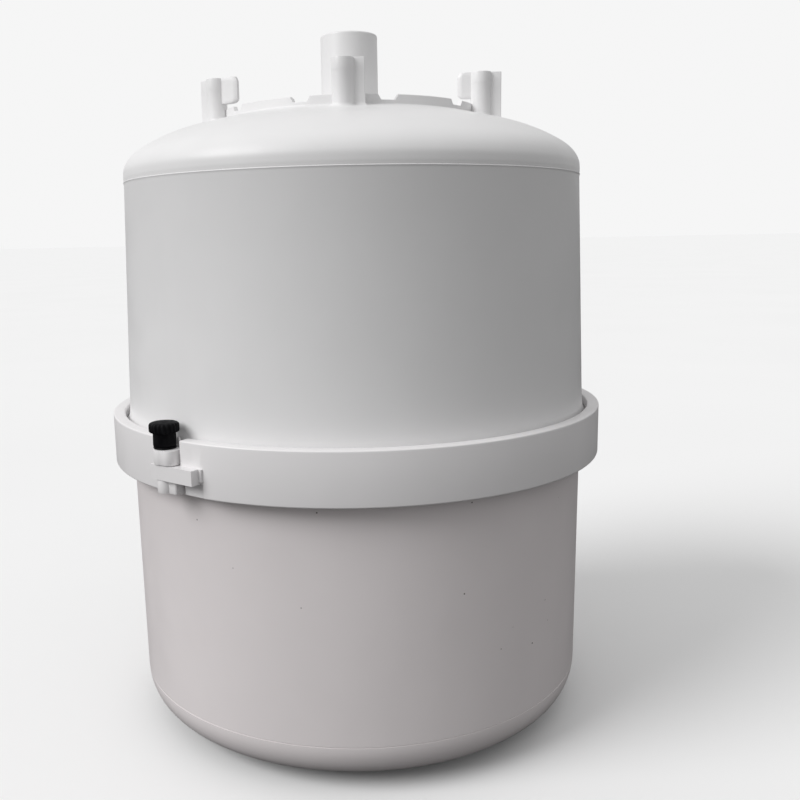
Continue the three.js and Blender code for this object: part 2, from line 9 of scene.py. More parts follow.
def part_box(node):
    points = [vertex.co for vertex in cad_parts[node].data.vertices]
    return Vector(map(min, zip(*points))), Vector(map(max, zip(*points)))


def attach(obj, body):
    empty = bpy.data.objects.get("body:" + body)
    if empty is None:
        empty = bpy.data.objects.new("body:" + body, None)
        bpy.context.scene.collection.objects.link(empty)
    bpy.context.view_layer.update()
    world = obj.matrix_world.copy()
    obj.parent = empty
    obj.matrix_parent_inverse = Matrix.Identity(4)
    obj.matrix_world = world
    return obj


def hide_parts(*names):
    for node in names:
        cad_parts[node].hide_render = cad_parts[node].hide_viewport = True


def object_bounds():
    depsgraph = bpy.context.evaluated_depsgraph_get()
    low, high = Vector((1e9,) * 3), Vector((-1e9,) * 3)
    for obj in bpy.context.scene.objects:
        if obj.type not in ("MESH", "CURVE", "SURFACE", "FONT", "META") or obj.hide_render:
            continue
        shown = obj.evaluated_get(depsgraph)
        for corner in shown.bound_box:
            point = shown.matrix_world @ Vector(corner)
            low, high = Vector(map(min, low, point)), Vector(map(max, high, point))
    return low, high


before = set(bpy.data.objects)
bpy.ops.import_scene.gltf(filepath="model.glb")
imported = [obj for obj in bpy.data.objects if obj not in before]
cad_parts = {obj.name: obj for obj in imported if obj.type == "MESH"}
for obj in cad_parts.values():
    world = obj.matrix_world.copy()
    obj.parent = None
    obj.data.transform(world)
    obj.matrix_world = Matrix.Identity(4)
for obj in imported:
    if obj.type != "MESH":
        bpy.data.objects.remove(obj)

cad_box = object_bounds()
MM = 0.001
TAU = 2 * math.pi


# ---------------------------------------------------------------- sizes, from the frame where it has them
def low(node):
    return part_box(node)[0] / MM


def high(node):
    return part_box(node)[1] / MM


def middle(node):
    return (low(node) + high(node)) / 2


def span(node):
    """The heights between which a CAD node lies."""
    return low(node).z, high(node).z


WALL = 3.5
GAP = 0.3  # between pieces that touch
PLAY = 0.4  # between pieces that move past each other

RING_R = cad_box[1][0] / MM
RING_TOP = high("clamp_half_left").z
RING_BOTTOM = low("clamp_half_left").z
RING_LIP_R = RING_R - 7.5
RING_GROOVE_R = RING_R - 4.7
RING_LIP = 6.7
SPLIT_AZIMUTH = -36.0
SPLIT_GAP = 1.6

FLANGE_R = high("upper_shell").x
UPPER_BOTTOM = low("upper_shell").z
FLANGE_TOP = RING_TOP - RING_LIP - GAP
FLARE_HEIGHT = 12.0  # of the rounding between a shell's wall and its flange
UPPER_FLARE_R = 158.3
UPPER_FLARE_WIDTH = 3.6
UPPER_SEAM_Z = 359.4
UPPER_SEAM_R = 150.0
UPPER_RIM_R = 154.6
OUTLET_TOP = high("upper_shell").z
OUTLET_R = 18.8
OUTLET_BORE_R = 15.8

FLANGE_BOTTOM = RING_BOTTOM + RING_LIP + GAP
LOWER_TOP = high("lower_shell").z
LOWER_FLARE_R = 157.6
LOWER_FLARE_WIDTH = 3.9
LOWER_RIM_R = 153.6
LOWER_SEAM_R = 152.5
LOWER_CORNER = 26.0
FOOT_HEIGHT = 6.0
FOOT_R = 90.0

CROWN_R = 84.0
CROWN_WALL = 3.0
CROWN_BASE = 398.8
CROWN_NOTCH = CROWN_BASE + 2.4
CROWN_TOP = CROWN_BASE + 5.6
CROWN_FLOOR = CROWN_BASE - 1.2
CROWN_SECTORS = 10
CROWN_TURN = -1.0  # degrees that the crown and its posts are turned from straight ahead
NOTCH_HALF = 4.2  # half width of a notch's floor
NOTCH_SLOPE = 2.0  # width of a tooth's sloping end
DOME_SLOPE = math.tan(math.radians(14))
DOME_EDGE_R = 112.0

STATIONS = ["front", "right", "rear_right", "rear_left", "left"]
ELECTRODES = ["front", "rear_right", "rear_left"]
STATION_STEP = 360 / len(STATIONS)
STATION_R = middle("electrode_nut_front").xy.length
FIN_REACH = 12.8
FIN_HALF = 1.4
FIN_FILLET = 0.4
FIN_CORNER = 0.5
FLAG_REACH = 14.7
LONG_FLAG_REACH = 19.0  # on the left post
FLAG_GAP = 3.2  # from the crown wall's top up to a flag
FIN_TURNS = {"front": 90, "right": 14, "left": -52}  # degrees that a fin is turned from straight outward
POST_TOP = 423.6
POST_R = 6.6
POST_HEAD = 7.0  # height of a post's slightly wider end
POST_STEM_R = POST_R - 0.12
POST_FOOT = 2.2  # rounding between a post and the dome
POST_BORE_R = 4.8
POST_FLOOR = low("electrode_nut_front").z - GAP
SEAT_R = 10.0  # of the block inside the dome, under a post
SEAT_BOTTOM = 390.0
PIN_R = 3.0
PIN_HOLE_R = PIN_R + GAP

KNOB = Vector((middle("clamp_stud").x, middle("clamp_stud").y, 0))
KNOB_R = KNOB.length
KNOB_AZIMUTH = math.degrees(math.atan2(KNOB.x, -KNOB.y))
BOSS_R = 7.0
BOSS_TOP = low("clamp_washer").z - GAP
TONGUE_TOP = 196.7
TONGUE_BOTTOM = 187.9
TONGUE_FRONT = 171.5
TONGUE_LEFT = -18.5  # the sides of the tongue and of what is cut for it, from the split
TONGUE_RIGHT = 15.5
TONGUE_ROOM_LEFT = -19.5
TONGUE_ROOT_LEFT = 15.0
TONGUE_ROOT_RIGHT = 17.5
BOSS_MOUTH_LEFT = -6.8
KNUCKLE_BOTTOM = 180.0
KNUCKLE_R = 5.6
STUD_R = 2.5
STUD_HOLE_R = STUD_R + GAP
STUD_PITCH = 0.8
WASHER_R = 6.6
INSERT_R = 4.1
INSERT_HOLE_R = 4.4

HINGE = Vector((middle("clamp_hinge_pin").x, middle("clamp_hinge_pin").y, 0))
HINGE_AZIMUTH = math.degrees(math.atan2(HINGE.x, -HINGE.y))
HINGE_R = HINGE.length
HINGE_KNUCKLE_R = 5.5
HINGE_PIN_R = 2.5
HINGE_HEAD_R = 4.0
HINGE_STEPS = [RING_BOTTOM + 0.5, 190, 200.6, RING_TOP - 0.5]  # where the hinge's knuckles meet

PLATE_HALF = 39.0
PLATE_THICKNESS = 2.0
STRAINER_R = 25.0
STRAINER_WALL = 2.2


# ---------------------------------------------------------------- camera
# The view of the photograph: slightly turned and rolled, and tilted down. Angles are in degrees.
CAMERA_AZIMUTH = 1.5
CAMERA_DISTANCE = 0.6396  # metres
CAMERA_DROP = 0.0368  # metres below the upper seam
CAMERA_TILT = 10.05
CAMERA_ROLL = -1.15
CAMERA_LENS = 41.39
CAMERA_SHIFT = 0.0550


def add_camera():
    tilt = math.radians(CAMERA_TILT)
    roll = math.radians(CAMERA_ROLL)
    ahead = Vector((0, math.cos(tilt), -math.sin(tilt)))
    up = Vector((0, math.sin(tilt), math.cos(tilt)))
    right = Vector((1, 0, 0))
    rolled_right = right * math.cos(roll) + up * math.sin(roll)
    rolled_up = up * math.cos(roll) - right * math.sin(roll)
    axes = Matrix((rolled_right, rolled_up, -ahead)).transposed().to_4x4()
    place = Vector((0, -CAMERA_DISTANCE, UPPER_SEAM_Z * MM - CAMERA_DROP))
    turn = Matrix.Rotation(math.radians(CAMERA_AZIMUTH), 4, "Z")
    data = bpy.data.cameras.new("camera")
    data.lens = CAMERA_LENS
    data.sensor_width = 36
    data.shift_x = CAMERA_SHIFT
    data.clip_start = 0.01
    camera = bpy.data.objects.new("camera", data)
    camera.matrix_world = turn @ Matrix.Translation(place) @ axes
    bpy.context.scene.collection.objects.link(camera)
    bpy.context.scene.camera = camera


add_camera()


# ---------------------------------------------------------------- mesh helpers
def around(azimuth, radius, height=0.0):
    """The point at an azimuth (degrees, 0 at -Y, growing towards +X) and a radius."""
    angle = math.radians(azimuth)
    return Vector((radius * math.sin(angle), -radius * math.cos(angle), height))


def local(azimuth, radius=0.0):
    """A frame at an azimuth and radius: +X outward, +Y along the growing azimuth, +Z up."""
    turn = Matrix.Rotation(math.radians(azimuth - 90), 4, "Z")
    return turn @ Matrix.Translation((radius, 0, 0))


def rounded(corners, step=20):
    """An outline with its corners rounded. Each corner is (x, y) or (x, y, radius)."""
    points = []
    count = len(corners)
    for i, corner in enumerate(corners):
        here = Vector(corner[:2])
        radius = corner[2] if len(corner) > 2 else 0
        before = Vector(corners[i - 1][:2]) - here
        after = Vector(corners[(i + 1) % count][:2]) - here
        if radius == 0 or before.length < 1e-6 or after.length < 1e-6:
            points.append(tuple(here))
            continue
        half = before.angle(after) / 2
        if half > math.radians(89.5):
            points.append(tuple(here))
            continue
        reach = min(radius / math.tan(half), before.length * 0.49, after.length * 0.49)
        radius = reach * math.tan(half)
        centre = here + (before.normalized() + after.normalized()).normalized() * radius / math.sin(half)
        start = here + before.normalized() * reach - centre
        end = here + after.normalized() * reach - centre
        sweep = start.angle_signed(end)
        steps = max(2, math.ceil(abs(math.degrees(sweep)) / step))
        for k in range(steps + 1):
            turned = Matrix.Rotation(-sweep * k / steps, 2) @ start
            points.append(tuple(centre + turned))
    return points


def smooth_line(points, steps=6):
    """A Catmull-Rom curve through the points."""
    pts = [Vector(p) for p in points]
    pts = [2 * pts[0] - pts[1]] + pts + [2 * pts[-1] - pts[-2]]
    line = []
    for a, b, c, d in zip(pts, pts[1:], pts[2:], pts[3:]):
        for k in range(steps):
            t = k / steps
            line.append(tuple(0.5 * (2 * b + (c - a) * t + (2 * a - 5 * b + 4 * c - d) * t ** 2
                                     + (3 * b - a - 3 * c + d) * t ** 3)))
    line.append(tuple(pts[-2]))
    return line


def arc(centre, size, start, end, steps):
    """Points of an ellipse arc about centre, between two angles in degrees."""
    angles = np.radians(np.linspace(start, end, steps + 1))
    return [(centre[0] + size[0] * math.cos(a), centre[1] + size[1] * math.sin(a)) for a in angles]


def build(name, vertices, faces, sharp=35):
    """A mesh object from millimetre vertices, with its faces pointing out."""
    mesh = bpy.data.meshes.new(name)
    mesh.from_pydata([tuple(Vector(v) * MM) for v in vertices], [], faces)
    bm = bmesh.new()
    bm.from_mesh(mesh)
    bmesh.ops.remove_doubles(bm, verts=bm.verts, dist=1e-7)
    bmesh.ops.recalc_face_normals(bm, faces=bm.faces)
    bm.to_mesh(mesh)
    bm.free()
    mesh.shade_smooth()
    mesh.set_sharp_from_angle(angle=math.radians(sharp))
    piece = bpy.data.objects.new(name, mesh)
    bpy.context.scene.collection.objects.link(piece)
    return piece


def stack(name, rings, closed_profile=True, sharp=35):
    """Joins rings of points into one skin, with end faces where the profile is open."""
    rows = len(rings)
    columns = len(rings[0])
    vertices = [p for ring in rings for p in ring]
    faces = []
    for i in range(rows if closed_profile else rows - 1):
        for j in range(columns):
            a = i * columns + j
            b = i * columns + (j + 1) % columns
            c = ((i + 1) % rows) * columns + (j + 1) % columns
            d = ((i + 1) % rows) * columns + j
            faces.append((a, b, c, d))
    if not closed_profile:
        faces.append(tuple(range(columns)))
        faces.append(tuple(range((rows - 1) * columns, rows * columns)))
    return build(name, vertices, faces, sharp)


def revolve(name, outline, azimuths=None, steps=200, sharp=35):
    """A turned solid. outline is a list of (radius, height), or a function of the azimuth."""
    if azimuths is None:
        azimuths = [360 * i / steps for i in range(steps)]
    shape = outline if callable(outline) else (lambda azimuth: outline)
    rings = [[around(a, r, z) for r, z in shape(a)] for a in azimuths]
    return stack(name, rings, sharp=sharp)


def turned(name, corners, place=None, steps=64, sharp=35):
    """A small turned solid about the vertical through place, from rounded corners."""
    piece = revolve(name, rounded(corners), steps=steps, sharp=sharp)
    if place is not None:
        piece.data.transform(Matrix.Translation(Vector((place.x, place.y, 0)) * MM))
    return piece


def box_mesh(name, x, y, z, frame_at):
    """A plain block in a local frame, used for cutting and joining."""
    corners = [frame_at @ Vector((x[i], y[j], z[k])) for i in (0, 1) for j in (0, 1) for k in (0, 1)]
    faces = [(0, 1, 3, 2), (4, 6, 7, 5), (0, 4, 5, 1), (2, 3, 7, 6), (0, 2, 6, 4), (1, 5, 7, 3)]
    return build(name, corners, faces)


def drum_mesh(name, radius, z, frame_at, steps=64):
    """A plain cylinder in a local frame, used for cutting and joining."""
    rings = [[frame_at @ Vector((radius * math.cos(TAU * j / steps), radius * math.sin(TAU * j / steps), h))
              for j in range(steps)] for h in z]
    return stack(name, rings, closed_profile=False)


def combine(piece, operation, tool):
    """Joins the tool to the piece or cuts it away, and removes the tool."""
    modifier = piece.modifiers.new("boolean", "BOOLEAN")
    modifier.operation = operation
    modifier.solver = "EXACT"
    modifier.object = tool
    freeze(piece)
    bpy.data.objects.remove(tool)


def freeze(piece):
    """Applies the piece's modifiers to its mesh."""
    bpy.context.view_layer.update()
    graph = bpy.context.evaluated_depsgraph_get()
    mesh = bpy.data.meshes.new_from_object(piece.evaluated_get(graph))
    piece.modifiers.clear()
    piece.data = mesh


def soften(piece, width):
    """Rounds the sharp edges that booleans leave."""
    bm = bmesh.new()
    bm.from_mesh(piece.data)
    bmesh.ops.remove_doubles(bm, verts=bm.verts, dist=2e-6)
    bmesh.ops.dissolve_degenerate(bm, edges=bm.edges, dist=2e-6)
    bm.to_mesh(piece.data)
    bm.free()
    bevel = piece.modifiers.new("bevel", "BEVEL")
    bevel.width = width * MM
    bevel.segments = 2
    bevel.limit_method = "ANGLE"
    bevel.angle_limit = math.radians(50)
    freeze(piece)
    piece.data.shade_smooth()
    piece.data.set_sharp_from_angle(angle=math.radians(32))


# ---------------------------------------------------------------- materials
class Nodes:
    """Small helper that writes a material's node tree."""

    def __init__(self, name):
        self.material = bpy.data.materials.new(name)
        self.material.use_nodes = True
        self.tree = self.material.node_tree
        self.shader = self.tree.nodes["Principled BSDF"]
        self.coords = self.tree.nodes.new("ShaderNodeTexCoord").outputs["Object"]

    def link(self, source, target):
        self.tree.links.new(source, target)

    def scaled(self, scale):
        mapping = self.tree.nodes.new("ShaderNodeMapping")
        mapping.inputs["Scale"].default_value = scale
        self.link(self.coords, mapping.inputs["Vector"])
        return mapping.outputs["Vector"]

    def noise(self, scale, detail=3, stretch=(1, 1, 1)):
        node = self.tree.nodes.new("ShaderNodeTexNoise")
        node.inputs["Scale"].default_value = scale
        node.inputs["Detail"].default_value = detail
        self.link(self.scaled(stretch), node.inputs["Vector"])
        return node.outputs["Fac"]

    def cells(self, scale):
        node = self.tree.nodes.new("ShaderNodeTexVoronoi")
        node.inputs["Scale"].default_value = scale
        self.link(self.coords, node.inputs["Vector"])
        return node.outputs["Distance"]

    def remap(self, value, from_low, from_high, to_low, to_high):
        node = self.tree.nodes.new("ShaderNodeMapRange")
        for socket, number in zip(("From Min", "From Max", "To Min", "To Max"),
                                  (from_low, from_high, to_low, to_high)):
            node.inputs[socket].default_value = number
        self.link(value, node.inputs["Value"])
        return node.outputs["Result"]

    def math(self, operation, a, b):
        node = self.tree.nodes.new("ShaderNodeMath")
        node.operation = operation
        for socket, value in zip(node.inputs, (a, b)):
            if isinstance(value, (int, float)):
                socket.default_value = value
            else:
                self.link(value, socket)
        return node.outputs[0]

    def blend(self, factor, first, second):
        node = self.tree.nodes.new("ShaderNodeMix")
        node.data_type = "RGBA"
        self.link(factor, node.inputs["Factor"])
        for socket, colour in zip((node.inputs[6], node.inputs[7]), (first, second)):
            if isinstance(colour, tuple):
                socket.default_value = (*colour, 1)
            else:
                self.link(colour, socket)
        return node.outputs[2]

    def bump(self, height, strength, distance):
        node = self.tree.nodes.new("ShaderNodeBump")
        node.inputs["Strength"].default_value = strength
        node.inputs["Distance"].default_value = distance * MM
        self.link(height, node.inputs["Height"])
        previous = self.shader.inputs["Normal"].links
        if previous:
            self.link(previous[0].from_socket, node.inputs["Normal"])
        self.link(node.outputs["Normal"], self.shader.inputs["Normal"])

    def set(self, **values):
        for name, value in values.items():
            self.shader.inputs[name.replace("_", " ")].default_value = value


def shade(colour, factor):
    return tuple(min(1.0, c * factor) for c in colour)


def moulded(name, colour, roughness=0.38, specks=0.0):
    """Moulded white polypropylene: faint cloudiness, fine grain and a satin skin."""
    n = Nodes(name)
    cloud = n.remap(n.noise(7, 4), 0.35, 0.65, 0, 1)
    tint = n.blend(cloud, shade(colour, 0.965), shade(colour, 1.02))
    smudge = n.remap(n.noise(26, 5, (1, 1, 0.45)), 0.5, 0.75, 0, 1)
    tint = n.blend(n.math("MULTIPLY", smudge, 0.22), tint, shade(colour, 0.93))
    if specks:
        # Small dark inclusions, kept to a few places by a second, coarser pattern.
        dots = n.remap(n.cells(95), 0.035, 0.06, 1, 0)
        places = n.remap(n.noise(31, 2), 0.56, 0.62, 0, specks)
        tint = n.blend(n.math("MULTIPLY", dots, places), tint, (0.09, 0.075, 0.07))
    n.link(tint, n.shader.inputs["Base Color"])
    rough = n.remap(n.noise(40, 6), 0.3, 0.7, roughness - 0.05, roughness + 0.09)
    n.link(rough, n.shader.inputs["Roughness"])
    n.bump(n.noise(2600, 2), 0.12, 0.02)
    n.bump(n.noise(12, 2), 0.35, 0.35)
    n.set(IOR=1.49)
    return n.material


def black_nylon():
    n = Nodes("black_nylon")
    tint = n.blend(n.remap(n.noise(300, 5), 0.35, 0.7, 0, 1), (0.002, 0.002, 0.003), (0.006, 0.006, 0.007))
    n.link(tint, n.shader.inputs["Base Color"])
    n.link(n.remap(n.noise(420, 5), 0.3, 0.7, 0.5, 0.7), n.shader.inputs["Roughness"])
    n.set(IOR=1.2)
    n.bump(n.noise(3000, 3), 0.25, 0.03)
    return n.material


def metal(name, colour, roughness, stretch):
    """Metal with fine lines: the lines run where stretch is small."""
    n = Nodes(name)
    lines = n.noise(900, 4, stretch)
    tint = n.blend(n.remap(lines, 0.3, 0.7, 0, 1), shade(colour, 0.86), colour)
    stain = n.remap(n.noise(55, 5), 0.5, 0.72, 0, 0.35)
    tint = n.blend(stain, tint, shade(colour, 0.7))
    n.link(tint, n.shader.inputs["Base Color"])
    n.link(n.remap(lines, 0.3, 0.7, roughness - 0.08, roughness + 0.12), n.shader.inputs["Roughness"])
    n.bump(lines, 0.2, 0.02)
    n.set(Metallic=1.0)
    return n.material


def rubber():
    n = Nodes("black_rubber")
    tint = n.blend(n.remap(n.noise(150, 5), 0.3, 0.7, 0, 1), (0.012, 0.012, 0.013), (0.03, 0.03, 0.031))
    n.link(tint, n.shader.inputs["Base Color"])
    n.link(n.remap(n.noise(260, 4), 0.3, 0.7, 0.62, 0.85), n.shader.inputs["Roughness"])
    n.bump(n.noise(1400, 4), 0.3, 0.04)
    return n.material


UPPER_WHITE = moulded("upper_white", (0.805, 0.80, 0.803))
LOWER_WHITE = moulded("lower_white", (0.765, 0.722, 0.725), 0.42, specks=1.0)
RING_WHITE = moulded("ring_white", (0.805, 0.79, 0.795), 0.36)
STRAINER_WHITE = moulded("strainer_white", (0.68, 0.69, 0.68), 0.5)
PTFE_WHITE = moulded("ptfe_white", (0.86, 0.86, 0.84), 0.46)
BLACK = black_nylon()
STEEL = metal("brushed_stainless", (0.56, 0.57, 0.58), 0.3, (1, 1, 0.03))
TURNED_STEEL = metal("turned_stainless", (0.6, 0.61, 0.62), 0.26, (0.05, 0.05, 1))
BRASS = metal("turned_brass", (0.68, 0.5, 0.24), 0.28, (0.05, 0.05, 1))
RUBBER = rubber()


def finish_piece(piece, material, slot, body, *nodes):
    """Gives a piece its material and body, and hides the CAD nodes that it stands for."""
    piece.data.materials.clear()
    piece.data.materials.append(material)
    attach(piece, body)
    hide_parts(*nodes)


# ---------------------------------------------------------------- upper shell
def crown_height(azimuth):
    """Height of the crown wall: teeth with sloping ends between ten notches."""
    step = 360 / CROWN_SECTORS
    from_notch = abs(((azimuth - CROWN_TURN) % step) - step / 2)
    along = math.radians(from_notch) * CROWN_R
    rise = min(1, max(0, (along - NOTCH_HALF) / NOTCH_SLOPE))
    return CROWN_NOTCH + (CROWN_TOP - CROWN_NOTCH) * rise


def crown_azimuths():
    """Even steps, with extra ones at the ends of the teeth."""
    step = 360 / CROWN_SECTORS
    floor_end = math.degrees(NOTCH_HALF / CROWN_R)
    top_end = math.degrees((NOTCH_HALF + NOTCH_SLOPE) / CROWN_R)
    ends = [floor_end - 0.25, floor_end - 0.05, floor_end, floor_end + 0.06, (floor_end + top_end) / 2,
            top_end - 0.06, top_end, top_end + 0.05, top_end + 0.3]
    within = {round(step * i / 24, 4) for i in range(24)}
    within |= {round(step / 2 + side * e, 4) for side in (-1, 1) for e in ends}
    return sorted(s * step + a + CROWN_TURN for s in range(CROWN_SECTORS) for a in within)


def dome_height(radius):
    """Height of the dome's cone at a radius."""
    return CROWN_BASE - (radius - CROWN_R) * DOME_SLOPE


def upper_outline(azimuth):
    """Section of the upper shell at an azimuth; only the crown wall's height changes."""
    crown = crown_height(azimuth)
    rim = UPPER_RIM_R - WALL
    outside = smooth_line([
        (UPPER_SEAM_R + 0.08, UPPER_SEAM_Z + 0.5), (150.2, 363), (149.7, 367.6), (147.3, 372.5),
        (143.1, 377), (137, 381.1), (128, 385.8), (119, 389.5), (DOME_EDGE_R, dome_height(DOME_EDGE_R)),
        (DOME_EDGE_R - 6, dome_height(DOME_EDGE_R - 6))])
    inside_top = CROWN_FLOOR - WALL
    inside = smooth_line([
        (DOME_EDGE_R - 1, dome_height(DOME_EDGE_R - 1) - WALL), (126, 382.6), (135.5, 377.5),
        (141, 373.5), (144.6, 369), (146.3, 364), (UPPER_SEAM_R - WALL, UPPER_SEAM_Z)], 4)
    flange = rounded([
        (rim, UPPER_BOTTOM, 0.5), (FLANGE_R, UPPER_BOTTOM, 0.7), (FLANGE_R, FLANGE_TOP, 0.7),
        (UPPER_FLARE_R, FLANGE_TOP)], 30)
    flare = arc((UPPER_FLARE_R, FLANGE_TOP + FLARE_HEIGHT), (UPPER_FLARE_WIDTH, FLARE_HEIGHT), 270, 183, 10)
    seam = [(UPPER_SEAM_R + 0.02, UPPER_SEAM_Z - 1.4), (UPPER_SEAM_R + 0.3, UPPER_SEAM_Z - 0.35),
            (UPPER_SEAM_R + 0.42, UPPER_SEAM_Z - 0.1), (UPPER_SEAM_R + 0.38, UPPER_SEAM_Z + 0.08),
            (UPPER_SEAM_R + 0.05, UPPER_SEAM_Z + 0.32)]
    top = rounded([
        (DOME_EDGE_R - 8, dome_height(DOME_EDGE_R - 8)), (CROWN_R, CROWN_BASE, 0.9),
        (CROWN_R, crown, 0.5), (CROWN_R - CROWN_WALL, crown, 0.5),
        (CROWN_R - CROWN_WALL, CROWN_FLOOR, 0.9), (OUTLET_R, CROWN_FLOOR, 2.2),
        (OUTLET_R - 0.15, OUTLET_TOP, 1.8), (OUTLET_BORE_R, OUTLET_TOP, 0.6),
        (OUTLET_BORE_R, inside_top, 1.0), (CROWN_R - 1, inside_top)], 22)
    return flange[:-1] + flare + seam + outside + top + inside + [(rim, FLANGE_TOP)]


def curve(start, bend, end, steps):
    """Points of a quadratic curve, without its first point."""
    a, b, c = Vector(start), Vector(bend), Vector(end)
    spots = [k / steps for k in range(1, steps + 1)]
    return [a * (1 - t) ** 2 + b * 2 * t * (1 - t) + c * t ** 2 for t in spots]


def post_section(radius, direction, grow):
    """Outline of a round tube with a thin fin, grown outward. Every outline has as many points."""
    size = radius + grow
    half = FIN_HALF + grow
    reach = FIN_REACH + grow
    corner = FIN_CORNER + grow * 0.5
    root = math.asin(half / size)
    foot = size * math.cos(root)
    away = root + FIN_FILLET / size
    on_tube = Vector((size * math.cos(away), -size * math.sin(away)))
    one_side = [on_tube] + curve(on_tube, (foot, -half), (foot + FIN_FILLET, -half), 3)
    one_side += [Vector((reach - corner, -half))]
    one_side += curve((reach - corner, -half), (reach, -half), (reach, -half + corner), 3)
    other_side = [Vector((p.x, -p.y)) for p in reversed(one_side)]
    turn = Matrix.Rotation(direction, 2)
    outline = [turn @ p for p in one_side + other_side]
    for angle in np.linspace(direction + away, direction + TAU - away, 42)[1:-1]:
        outline.append(Vector((size * math.cos(angle), size * math.sin(angle))))
    return outline


def station(index, radius):
    """The local frame at a radius in the direction of a terminal post."""
    return local(STATION_STEP * index + CROWN_TURN, radius)


def terminal_post(index, where):
    """A tube with a fin, which flows into the dome and is open at the top, and its flag."""
    at = station(index, STATION_R)
    turn = math.radians(FIN_TURNS.get(where, 0))

    def ring(radius, grow, height=None, lift=0.0):
        flat = [at @ Vector((p.x, p.y, 0)) for p in post_section(radius, turn, grow)]
        if height is not None:
            return [Vector((p.x, p.y, height)) for p in flat]
        return [Vector((p.x, p.y, dome_height(p.length) + lift)) for p in flat]

    def bore(radius, height):
        angles = [math.atan2(p.y, p.x) for p in post_section(POST_R, turn, 0)]
        return [at @ Vector((radius * math.cos(a), radius * math.sin(a), height)) for a in angles]

    stem = POST_STEM_R
    rings = [ring(stem, POST_FOOT - 0.3, lift=-1.0)]
    for k in range(7):
        bend = math.radians(90 * k / 6)
        rise = POST_FOOT * (1 - math.cos(bend))
        rings.append(ring(stem, POST_FOOT * (1 - math.sin(bend)), lift=rise - 0.05))
    head = POST_TOP - POST_HEAD
    rings += [ring(stem, 0, head - 0.4), ring(stem + 0.03, 0, head - 0.2),
              ring(POST_R - 0.03, 0, head + 0.1), ring(POST_R, 0, head + 0.4)]
    for k in range(4):
        bend = math.radians(90 * k / 3)
        rings.append(ring(POST_R, -0.5 * (1 - math.cos(bend)), POST_TOP - 0.5 * (1 - math.sin(bend))))
    rings += [bore(POST_BORE_R + 0.5, POST_TOP), bore(POST_BORE_R, POST_TOP - 0.5),
              bore(POST_BORE_R, POST_FLOOR), bore(PIN_HOLE_R, POST_FLOOR), bore(PIN_HOLE_R, CROWN_FLOOR - 3)]
    post = stack(f"terminal_post_{where}", rings, sharp=42)
    finish_piece(post, UPPER_WHITE, "upper_plastic", "vessel", "upper_shell")
    if where != "front":
        flag = post_flag(where, at @ Matrix.Rotation(turn, 4, "Z"))
        finish_piece(flag, UPPER_WHITE, "upper_plastic", "vessel", "upper_shell")


def post_flag(where, at):
    """The flag on a post's inner side: a plate with a tapered, clipped end, above the crown."""
    bottom = CROWN_TOP + FLAG_GAP
    root = 1.5 - POST_R
    tip = -(LONG_FLAG_REACH if where == "left" else FLAG_REACH)
    rings = []
    # Each ring is a level of the flag: its height, how far its tip is clipped, and how much it is rounded.
    levels = [(bottom, 2.6, 0.5), (bottom + 0.15, 2.1, 0.2), (bottom + 0.6, 1.5, 0.0),
              (bottom + 1.6, 0.3, 0.0), (bottom + 2.4, 0.0, 0.0), (POST_TOP - 3.2, 0.0, 0.0),
              (POST_TOP - 2.7, 0.1, 0.0), (POST_TOP - 0.5, 1.4, 0.0), (POST_TOP - 0.15, 1.8, 0.15),
              (POST_TOP - 0.02, 2.3, 0.5)]
    for z, clip, inset in levels:
        end = tip + clip
        half = 2.0 - inset
        narrow = 1.0 - inset
        outline = [(root, -half), (end + 2.9, -half), (end + 2.5, -half + 0.04),
                   (end + 0.5, -narrow - 0.12), (end + 0.1, -narrow + 0.15), (end, -narrow + 0.5)]
        outline += [(x, -y) for x, y in reversed(outline)]
        rings.append([at @ Vector((x, y, z)) for x, y in outline])
    return stack(f"post_flag_{where}", rings, closed_profile=False, sharp=25)


def crown_rib(index, azimuth):
    """A low rib from the crown wall to the spigot."""
    at = local(azimuth)
    length = (OUTLET_R - 1, CROWN_R - 1)
    outline = rounded([
        (-1.9, CROWN_FLOOR - 0.5, 0), (1.9, CROWN_FLOOR - 0.5, 0), (1.5, CROWN_FLOOR + 0.8, 0.6),
        (1.3, CROWN_NOTCH, 0.6), (-1.3, CROWN_NOTCH, 0.6), (-1.5, CROWN_FLOOR + 0.8, 0.6)])
    rings = [[at @ Vector((x, y, z)) for y, z in outline] for x in length]
    return stack(f"crown_rib_{index + 1}", rings, closed_profile=False)


def make_upper_shell():
    shell = revolve("upper_shell_moulding", upper_outline, crown_azimuths(), sharp=38)
    seat_top = dome_height(STATION_R + SEAT_R) - 0.4
    for index in range(len(STATIONS)):
        at = station(index, STATION_R)
        combine(shell, "UNION", drum_mesh("seat", SEAT_R, (SEAT_BOTTOM, seat_top), at))
        combine(shell, "DIFFERENCE", drum_mesh("hole", PIN_HOLE_R, (SEAT_BOTTOM - 5, CROWN_TOP + 3), at, 32))
    shell.data.shade_smooth()
    shell.data.set_sharp_from_angle(angle=math.radians(38))
    finish_piece(shell, UPPER_WHITE, "upper_plastic", "vessel", "upper_shell")
    for index, where in enumerate(STATIONS):
        terminal_post(index, where)
        rib = crown_rib(index, STATION_STEP * (index + 0.5) + CROWN_TURN)
        finish_piece(rib, UPPER_WHITE, "upper_plastic", "vessel", "upper_shell")


